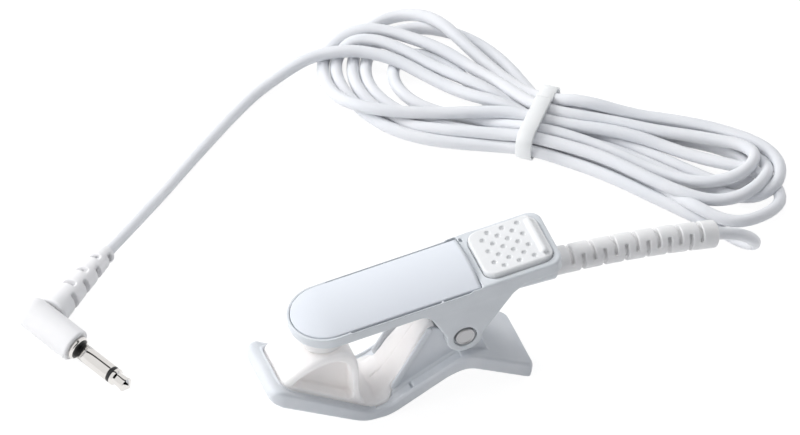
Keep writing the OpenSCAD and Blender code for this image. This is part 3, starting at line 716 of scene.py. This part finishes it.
# %% The jaw's side views
# x and z in millimetres: the plate, the pad's seat, and the web that carries the pin
jaw_side = rounded([[-31.6, 11.4], [-15.4, 1.75], [-13.4, 0.6], [-11.6, 0.05], [-9.4, 0.0], [-7.4, 0.05],
                    [-5.4, 0.8], [0, 3.6], [5.2, 6.3], [7.65, 7.0], [9.65, 6.95], [11.65, 5.9],
                    [21.9, 0.1], [22.7, 0.3], [23.4, 2.6], [23.1, 3.3], [10.25, 10.55], [8.45, 10.9],
                    [6.25, 10.05], [-2.4, 5.75], [-7.1, 3.15], [-9.4, 2.6], [-11.5, 2.85],
                    [-14.6, 4.85], [-29.3, 14.35], [-30.9, 14.6], [-31.9, 13.6], [-32.1, 12.3]], 1.3)
seat_side = rounded([[-28.9, 12.77], [-14.2, 2.95], [-12.7, 1.9], [-11.0, 1.35], [-8.0, 1.4],
                     [-5.75, 2.5], [-5.75, 22], [-28.9, 22]], 1.3, 1)
web_side = rounded([[-5.3, 3.4], [-5.9, 5.2], [1.4, 17.6], [2.4, 18.6], [4.6, 17.4], [8.65, 18.0],
                    [12.0, 15.1], [14.85, 6.7], [8.65, 7.8]], 1.2)
jaw_half = 8.0
print("jaw length in mm:", round(float(np.ptp(jaw_side[:, 0])), 1))


def strip(u, v, a, b, r):
    """Distance to a straight bar of radius r from point a to point b."""
    e = np.subtract(b, a)
    t = np.clip(((u - a[0]) * e[0] + (v - a[1]) * e[1]) / (e @ e), 0, 1)
    return np.hypot(u - a[0] - t * e[0], v - a[1] - t * e[1]) - r

# %% Lower jaw
def jaw_webs(x, y, z):
    """Two webs, each with a boss round the pin and a round bar along its front edge."""
    ay = np.abs(y)
    round_pin = np.hypot(x - pin_x, z - pin_z) - 3.6
    web = meet(np.minimum(outline(x, z, web_side), round_pin), np.abs(ay - 4.93) - 0.27, 0.15)
    boss = np.maximum(round_pin, np.abs(ay - 4.25) - 0.95)
    bar = meet(strip(x, z, (-5.5, 5.3), (2.0, 18.0), 0.6), np.abs(ay - 5.5) - 0.65, 0.3)
    return join(np.minimum(web, boss), bar, 0.12)


def jaw_field(x, y, z):
    """Distance to the jaw: side view meets plan, joined to the webs, less the pad's seat,
    a hollow under the ramp, the grooves with their nicks, and the pin's hole."""
    ay = np.abs(y)
    side = outline(x, z, jaw_side)
    front = plate(x, y, -32.1, 40, -jaw_half, jaw_half, 3.2)
    back = plate(x, y, -50, 23.4, -jaw_half, jaw_half, 1.8)
    body = join(meet(side, np.where(x < -5, front, back), 0.7), jaw_webs(x, y, z), 0.35)
    seat = plate(x, y, -28.9, -5.7, -6.5, 6.5, 2.3)
    body = cut(body, np.maximum(outline(x, z, seat_side), seat), 0.2)
    # a fine lip round the front of the seat
    middle = np.maximum(2.0 - 0.6 * (x + 12.5), 1.3)
    lip = np.maximum(np.maximum(np.abs(seat - 0.28) - 0.24, side - 0.22), np.maximum(middle - z, x + 11))
    body = join(body, lip, 0.1)
    slim = np.maximum(np.maximum(2.3 + 0.54 * (x + 5.4) - z, np.abs(x + 1.3) - 5.4), ay - 4.5)
    body = np.maximum(body, -slim)
    upper = 1.9 + 0.5 * (x + 7) - z
    # the groove and then the nick: depth, middle and half of x and of y, edge radius
    for deep, mid_x, half_x, mid_y, half_y, r in ((0.42, -0.9, 8.9, 6.4, 0.85, 0.2),
                                                  (0.8, -2.1, 0.25, 6.3, 0.7, 0.1)):
        spot = np.maximum(np.abs(x - mid_x) - half_x, np.abs(ay - mid_y) - half_y)
        body = cut(body, np.maximum(np.maximum(-deep - side, upper), spot), r)
    return cut(body, np.hypot(x - pin_x, z - pin_z) - 2.06 + 0 * y, 0.1)


verts, faces = skin(jaw_field, (-32.4, -8.15, -0.2), (23.8, 8.15, 19.9), 0.205 * fine)
place("jaw_moulding", verts, faces, "jaw", jaw_abs, ("lower_jaw",))

# %% [markdown]
# ## The jaw's pad
# A milky, soft pad with a hollow arched bump in front and a ramp behind. It is moulded
# in one piece. The recess on each side of the bump lets it flex on a curved headstock.
# The bump, the base and the ramp are side views with a width, joined as one skin.

# %% The pad's side views
bump_side = rounded([[-28.8, 12.8], [-14.2, 3.0], [-12.9, 1.95], [-11.9, 1.6], [-11.4, 2.2],
                     [-11.7, 3.6], [-12.5, 5.2], [-12.9, 8.0], [-12.8, 12.2], [-12.9, 14.8],
                     [-13.6, 16.7], [-14.8, 17.7], [-16.4, 18.1], [-18.8, 18.1], [-22.0, 17.75],
                     [-25.2, 16.45], [-28.0, 14.8], [-28.8, 13.9]], 1.0)
hollow_side = rounded([[-26.9, 13.6], [-15.0, 6.0], [-14.2, 6.4], [-14.3, 11.0], [-14.6, 13.9],
                       [-15.4, 15.5], [-17.0, 16.5], [-19.7, 16.6], [-22.3, 16.0], [-24.9, 14.9]], 1.0)
base_side = rounded([[-12.9, 2.0], [-11.0, 1.4], [-8.0, 1.45], [-5.75, 2.55], [-5.75, 4.4],
                     [-7.4, 3.4], [-9.4, 2.95], [-12.2, 3.2]], 1.0, 1)
ramp_side = rounded([[-8.2, 2.6], [-6.2, 2.6], [4.05, 7.6], [3.85, 17.2], [3.15, 17.9], [2.35, 17.5],
                     [-0.4, 13.4], [-2.9, 9.6], [-4.7, 6.9], [-6.3, 4.9], [-8.4, 3.2]], 1.0)
print("bump height in mm:", round(float(bump_side[:, 1].max()), 1))

# %% Jaw pad
def pad_field(x, y, z):
    """Distance to the pad: a bump that narrows upwards, hollow on both sides, joined to the
    base and the ramp, with the mould's fine seam along the ramp."""
    ay = np.abs(y)
    half = 6.4 - np.clip((z - 8) / 11, 0, 1)
    plan = plate(x, y, -28.8, -5.75, -6.4, 6.4, 2.2)
    bump = meet(meet(outline(x, z, bump_side), ay - half, 0.8), plan, 0.4)
    hollow = meet(outline(x, z, hollow_side), 3.2 - ay, 0.5)
    bump = cut(bump, hollow, 0.3)
    base = meet(outline(x, z, base_side), plan, 0.25)
    ramp = meet(outline(x, z, ramp_side), ay - 4.4 + 1.3 * np.clip((z - 9) / 6, 0, 1), 0.4)
    pad = join(join(bump, base, 0.35), ramp, 1.3)
    seam = np.maximum(np.abs(y - 0.4) - 0.14, np.abs(outline(x, z, ramp_side)) - 0.12)
    return np.maximum(pad, -np.maximum(seam, np.abs(x + 3.7) - 4.6))


verts, faces = skin(pad_field, (-29.1, -6.7, 1.1), (4.4, 6.7, 18.5), 0.2 * fine)
place("jaw_pad_soft", verts, faces, "jaw", milky_tpe, ("jaw_pad",))

# %% [markdown]
# ## The pin
# Turned from steel bar. Its ends are faced flat, with a shallow groove inside a rounded
# rim, which catches the light as a ring.

# %% Pivot pin
pin_profile = [(-7.72, 0), (-7.7, 1.2), (-7.64, 1.5), (-7.66, 1.6), (-7.78, 1.72),
               (-7.78, 1.86), (-7.66, 1.98), (-7.5, 2.0)]
pin_profile += [(-s, r) for s, r in pin_profile[::-1]]
verts, faces = spun(pin_profile, (pin_x, 0, pin_z), (0, 1, 0), 72)
pin = place("pin_turned", verts, faces, "clip_body", pin_steel, ("pivot_pin",))
weld(pin)

# %% [markdown]
# ## The strain relief
# A soft sleeve with slots cut half way round it, by turns from above and from below, so
# that it bends evenly. A solid collar closes its end. Its axis is a gentle arc. The slots
# could be cut by booleans, but as distances they get soft edges, as moulded slots have.

# %% Strain relief at the clip
relief_x, relief_z, relief_bend = 23.638, -160.19, 182.3     # centre and radius of its axis
relief_r = 2.8
slot_step = 2.275


def boot_field(x, y, z):
    """Distance to a tube along an arc, with the cord's bore. Its 13 slots reach in to
    radius 1.75, on one side and on the other by turns."""
    s = (np.arctan2(x - relief_x, z - relief_z) - math.radians(2)) * relief_bend
    rise = np.hypot(x - relief_x, z - relief_z) - relief_bend
    from_axis = np.hypot(rise, y)
    body = meet(from_axis - relief_r, np.abs(s - 15.4) - 18.9, 0.55)
    tilted = (rise + y) * 0.7071
    for i in range(13):
        side = tilted + 1.4 if i % 2 == 0 else 0.35 - tilted
        across = np.abs(s - 3.2 - slot_step * i) - 0.4
        slot = meet(np.maximum(across, 1.75 - from_axis), -side, 0.3)
        body = cut(body, slot, 0.24)
    return np.maximum(body, 1.3 - from_axis)


verts, faces = skin(boot_field, (26.3, -3.1, 13.9), (64.9, 3.1, 25.2), 0.17 * fine)
boot = place("boot_slotted", verts, faces, "clip_body", boot_pvc, ("strain_relief",))

# %% [markdown]
# ## The plug
# The housing and its tapered boot are moulded round the cord at a right angle. The metal
# is turned and nickel plated: a flange, a sleeve, a black ring, and a necked tip. The
# plug rests on its tip and the boot holds the elbow off the floor, so both axes droop.

# %% The plug's axes
def heading(turn, droop):
    """Direction from its angle on the floor and its fall below the level, in degrees."""
    a, d = math.radians(turn), math.radians(droop)
    return np.array([math.cos(a) * math.cos(d), math.sin(a) * math.cos(d), -math.sin(d)])


elbow = np.array([-64.0, 38.6, 4.9309])
plug_axis = heading(-62.7, 8)
heel = elbow + 2.4 * plug_axis
boot_axis = heading(38.2, 2.9)
boot_side = -heading(38.2 + 90, 0)
boot_up = np.cross(boot_side, boot_axis)
boot_up *= np.sign(boot_up[2])
bend = math.degrees(math.acos(float(plug_axis @ boot_axis)))
print("angle between plug and boot in degrees:", round(bend, 1))


def along(x, y, z, axis, start=elbow):
    """How far a point lies from the start along an axis."""
    return (x - start[0]) * axis[0] + (y - start[1]) * axis[1] + (z - start[2]) * axis[2]

# %% Plug housing
housing_r = 3.4


def from_barrel(x, y, z):
    """Distance from the plug's axis, and from the elbow behind it: a rod with a ball end."""
    far2 = (x - elbow[0]) ** 2 + (y - elbow[1]) ** 2 + (z - elbow[2]) ** 2
    s = along(x, y, z, plug_axis)
    return np.sqrt(np.maximum(far2 - np.maximum(s, 0) ** 2, 0))


def housing_field(x, y, z):
    """Distance to the housing: the rod with a ball end, ended flat with a round edge."""
    return meet(from_barrel(x, y, z) - housing_r, along(x, y, z, plug_axis) - 11, 0.45)


verts, faces = skin(housing_field, (-67.8, 26.2, -0.3), (-55.2, 42.5, 8.8), 0.17 * fine)
housing = place("plug_housing_moulded", verts, faces, "clip_body", plug_pvc,
                ("plug_housing",))

# %% Plug boot
def plug_boot_field(x, y, z):
    """Distance to a cone that starts at the housing's skin, with the cord's bore and with
    7 slots, on one side and on the other by turns."""
    s = along(x, y, z, boot_axis, heel)
    h = along(x, y, z, boot_side, heel)
    v = along(x, y, z, boot_up, heel)
    from_axis = np.hypot(h, v)
    radius = 3.2 - 1.25 * np.clip((s - 3) / 20.6, 0, 1)
    body = meet(from_axis - radius, np.abs(s - 13.3) - 10.35, 0.4)
    body = np.maximum(body, housing_r + 0.02 - from_barrel(x, y, z))
    lean = 0.9 * h - 0.43 * v
    for i in range(7):
        side = lean - 0.5 if i % 2 == 0 else -0.2 - lean
        slot = meet(np.maximum(np.abs(s - 7.7 - 2.4 * i) - 0.6, 1.4 - from_axis), -side, 0.35)
        body = cut(body, slot, 0.24)
    return np.maximum(body, 1.3 - from_axis)


verts, faces = skin(plug_boot_field, (-64.3, 34.4, 0.9), (-42.6, 54.4, 8.6), 0.17 * fine)
plug_boot = place("plug_boot_slotted", verts, faces, "clip_body", plug_pvc, ("plug_boot",))

# %% Plug metal
# piece, node it stands for, and its distances along the plug and radii in millimetres
bands = [
    ("plug_collar", "plug_flange", [(11.05, 0), (11.05, 2.35), (11.2, 2.5), (11.6, 2.5),
                                    (11.9, 2.3), (11.9, 0)]),
    # the thin black ring where the collar meets the sleeve is painted shade, for the dark gap at the plug's
    # mouth
    ("plug_shade_ring", "", [(11.9, 0), (11.9, 2.12), (11.98, 2.12), (12.1, 1.8), (12.1, 0)]),
    ("plug_shaft", "plug_sleeve", [(11.95, 0), (11.95, 1.75), (16, 1.75), (20.18, 1.75),
                                   (20.3, 1.68), (20.3, 0)]),
    ("plug_ring", "plug_insulator", [(20.33, 0), (20.33, 1.68), (20.45, 1.72), (20.9, 1.72),
                                     (21.03, 1.68), (21.03, 0)]),
    ("plug_point", "plug_tip", [(21.08, 0), (21.08, 1.72), (21.14, 1.76), (21.74, 1.76),
                                (21.85, 1.7), (22.1, 1.34), (22.3, 1.3), (23.6, 1.36), (24.1, 1.52),
                                (24.24, 1.52), (24.32, 1.46), (25.1, 0.4), (25.22, 0.2), (25.25, 0)])]
# the insulating ring is really black; the thin black ring at the collar is painted shade
black_bands = ("plug_shade_ring", "plug_ring")
metal_parts = []
for name, node_name, profile in bands:
    verts, faces = spun(profile, elbow, plug_axis)
    stands_for = (node_name,) if node_name else ()
    slot_name, finish = ("insulator_black", ring_black) if name in black_bands else ("nickel", nickel)
    metal_parts.append(place(name, verts, faces, "clip_body", finish, stands_for))
    weld(metal_parts[-1])

# %% [markdown]
# ## The tie
# A flat white band, wound once round the waist of the hank and lapped over itself on top.
# It is a thin rounded strip carried round a rounded rectangle. Before it laps, the path
# steps outwards by a little more than the band's thickness.

# %% The tie's path
def band_path(offset, n0, n1, count):
    """Round a rectangle with round corners, from place n0 to n1 of its length (1 is once
    round), pushed out by offset: points, and the outward directions there."""
    half, low, high, r = 8.35, 0.32, 5.75, 2.1
    corners = [(half - r, high - r, 0), (half - r, low + r, -90),
               (-half + r, low + r, -180), (-half + r, high - r, -270)]
    ring = []
    for cn, cz, a in corners:
        t = np.radians(a + 90 - np.linspace(0, 90, 10))
        ring.append(np.stack([cn + r * np.cos(t), cz + r * np.sin(t), np.cos(t), np.sin(t)], 1))
    ring = np.vstack(ring + [ring[0][:1]])
    length = np.r_[0, np.cumsum(np.linalg.norm(np.diff(ring[:, :2], axis=0), axis=1))]
    at = (np.linspace(n0, n1, count) % 1.0) * length[-1]
    p = np.stack([np.interp(at, length, ring[:, k]) for k in range(4)], 1)
    p[:, 2:] /= np.linalg.norm(p[:, 2:], axis=1)[:, None]
    return p[:, :2] + p[:, 2:] * np.broadcast_to(offset, (count,))[:, None], p[:, 2:]


print("the path at its quarters in mm:", band_path(0.0, 0.0, 0.75, 4)[0].round(1).tolist())

# %% Cable tie
tie_mid = np.array([48.5, 55.3, 0.0])
hank_x = heading(-40.7, 0)
hank_y = heading(-40.7 + 90, 0)
# the length starts at the far end of the top, and the lap covers it from 0.62 to 0.93
count = 150
band_start, band_end = 0.62, 1.93
part = np.linspace(band_start, band_end, count)
lap = 0.5 * np.clip((part - 1.45) / 0.1, 0, 1) + 0.03
line, out = band_path(lap, band_start, band_end, count)
across = np.array([-1.6, -1.5, 0.0, 1.5, 1.6, 1.6, 1.5, 0.0, -1.5, -1.6])
thick = np.array([0.34, 0.42, 0.44, 0.42, 0.34, 0.08, 0.0, 0.0, 0.0, 0.08])
n = line[:, 0, None] + out[:, 0, None] * thick
z = line[:, 1, None] + out[:, 1, None] * thick
points = (tie_mid + across[None, :, None] * hank_x + n[..., None] * hank_y
          + z[..., None] * np.array([0, 0, 1.0]))
faces = net(count, 10, close_cols=True).tolist()
faces += [list(range(10))[::-1], list(range(count * 10 - 10, count * 10))]
tie = place("tie_band", points.reshape(-1, 3), faces, "clip_body", tie_pe, ("cable_tie",))
weld(tie)

# %% [markdown]
# ## The frame's own pieces
# Most solids stand hidden behind a finer piece. The coil, the wires, the crimp, the plug's
# rod and the disc with its foam are right as they are, and show in finishes of their own.

# %% Finishes of the solids that show
shown_solids = {
    "piezo_plate": brass, "piezo_ceramic": disc_ceramic, "piezo_foam": foam_grey,
    "signal_wire": wire_red, "ground_wire": wire_black, "cord_retainer": crimp_steel,
    "torsion_spring": spring_steel, "plug_rod": brass}
for name, finish in shown_solids.items():
    finish_solid(name, finish)
print(len(shown_solids), "of", len(frame["nodes"]), "solids show")

# %% [markdown]
# ## Where the cord leaves
# The shape alone doesn't say that this is a cord. Here only the point where it leaves the arm is printed.

print("the cord leaves at", (cord_line[0] / 1000).tolist())

# %% [markdown]
# ## The floor
# A plain sheet of white paper, which throws light back up at the object. To the eye and
# in gloss, most of its white is light of its own and a small share takes the shadow, so it
# is never grey. Only those rays see that light, so none of it falls on the object.

# %% Floor
floor_mesh = bpy.data.meshes.new("floor")
floor_mesh.from_pydata([(-3, -3, 0), (3, -3, 0), (3, 3, 0), (-3, 3, 0)], [], [(0, 1, 2, 3)])
floor = bpy.data.objects.new("floor", floor_mesh)
bpy.context.scene.collection.objects.link(floor)
paper = bpy.data.materials.new("white paper floor")
t = blank(paper)
rays = add(t, "LightPath")
seen = add(t, "Math", {"operation": "MAXIMUM"}, {0: rays.outputs["Is Camera Ray"],
                                                 1: rays.outputs["Is Glossy Ray"]})
matt = add(t, "BsdfDiffuse", {"Color": linear("#f2f2f3")})
glow = add(t, "Emission", {"Color": (1, 1, 1, 1), "Strength": 0.92})
faint = add(t, "BsdfDiffuse", {"Color": (0.16, 0.16, 0.16, 1)})
both = add(t, "AddShader", {}, {0: faint.outputs["BSDF"], 1: glow.outputs["Emission"]})
pick = add(t, "MixShader", {}, {0: seen.outputs["Value"], 1: matt.outputs["BSDF"],
                                2: both.outputs["Shader"]})
add(t, "OutputMaterial", {}, {"Surface": pick.outputs["Shader"]})
floor_mesh.materials.append(paper)
print("floor is", [round(v) for v in floor.dimensions], "metres")

# %% [markdown]
# ## The sky
# White things need something dark to show their edges. Here the sky that lights them is
# dim and even, and the eye sees plain white behind them. What gloss sees is a third sky:
# a white tent with a dark slit and a dark opening, which draw the dark lines in nickel.

# %% Sky
world = bpy.data.worlds.new("studio")
bpy.context.scene.world = world
t = blank(world)
rays = add(t, "LightPath")
sky = add(t, "Background", {"Color": linear("#e3e6ec"), "Strength": 0.33})
white = add(t, "Background", {"Color": (1, 1, 1, 1), "Strength": 1.0})
# dark where the direction is nearly square to the first axis, or close to the second
look = add(t, "TexCoord").outputs["Generated"]
across = add(t, "VectorMath", {"operation": "DOT_PRODUCT", 1: (-0.853, -0.474, 0.215)}, {0: look})
apart = add(t, "Math", {"operation": "ABSOLUTE"}, {0: across.outputs["Value"]})
slit = add(t, "MapRange", {"From Min": 0.12, "From Max": 0.19}, {"Value": apart.outputs["Value"]})
ahead = add(t, "VectorMath", {"operation": "DOT_PRODUCT", 1: (0.257, -0.918, 0.154)}, {0: look})
gap = add(t, "MapRange", {"From Min": 0.82, "From Max": 0.72}, {"Value": ahead.outputs["Value"]})
tent = add(t, "Math", {"operation": "MULTIPLY"}, {0: slit.outputs["Result"], 1: gap.outputs["Result"]})
mirror = add(t, "Background", {"Color": (0.95, 0.95, 0.95, 1)}, {"Strength": tent.outputs["Value"]})
lit = add(t, "MixShader", {}, {0: rays.outputs["Is Glossy Ray"], 1: sky.outputs["Background"],
                               2: mirror.outputs["Background"]})
pick = add(t, "MixShader", {}, {0: rays.outputs["Is Camera Ray"], 1: lit.outputs["Shader"],
                                2: white.outputs["Background"]})
add(t, "OutputWorld", {}, {"Surface": pick.outputs["Shader"]})
print("the sky has", len(t.nodes), "nodes")

# %% [markdown]
# ## The lamps
# Five square soft boxes. The strongest stands behind on the left, so that near sides
# stay greyer than tops and the white shapes read. They don't show in gloss, because
# their square edges would print patches on the cover; the tent does that work.

# %% Lamps
def lamp(name, at, aim, size, power):
    """A square soft box: it stands at a point, faces another, and has a size in metres."""
    data = bpy.data.lights.new(name, "AREA")
    data.size = size
    data.energy = power
    box = bpy.data.objects.new(name, data)
    box.location = at
    box.rotation_mode = "QUATERNION"
    box.rotation_quaternion = (Vector(aim) - Vector(at)).to_track_quat("-Z", "Y")
    box.visible_glossy = False
    bpy.context.scene.collection.objects.link(box)


lamp("key", (-0.6, 0.6, 0.55), (0, 0.03, 0), 0.5, 6.6)
lamp("top", (0.1, 0.2, 0.98), (0, 0.03, 0), 0.7, 3.3)
lamp("left", (-0.9, -0.2, 0.38), (0, 0.03, 0), 0.4, 3.2)
lamp("rear", (0.85, 0.42, 0.35), (0, 0.03, 0), 0.4, 1.2)
lamp("front", (-0.7, -0.5, 0.35), (0, 0, 0.01), 0.4, 0.05)
print(len(bpy.data.lights), "lamps")

# %% [markdown]
# ## The end
# Colours go to the picture as they are, without a film look.

# %% Colour to the picture
bpy.context.scene.view_settings.view_transform = "Standard"
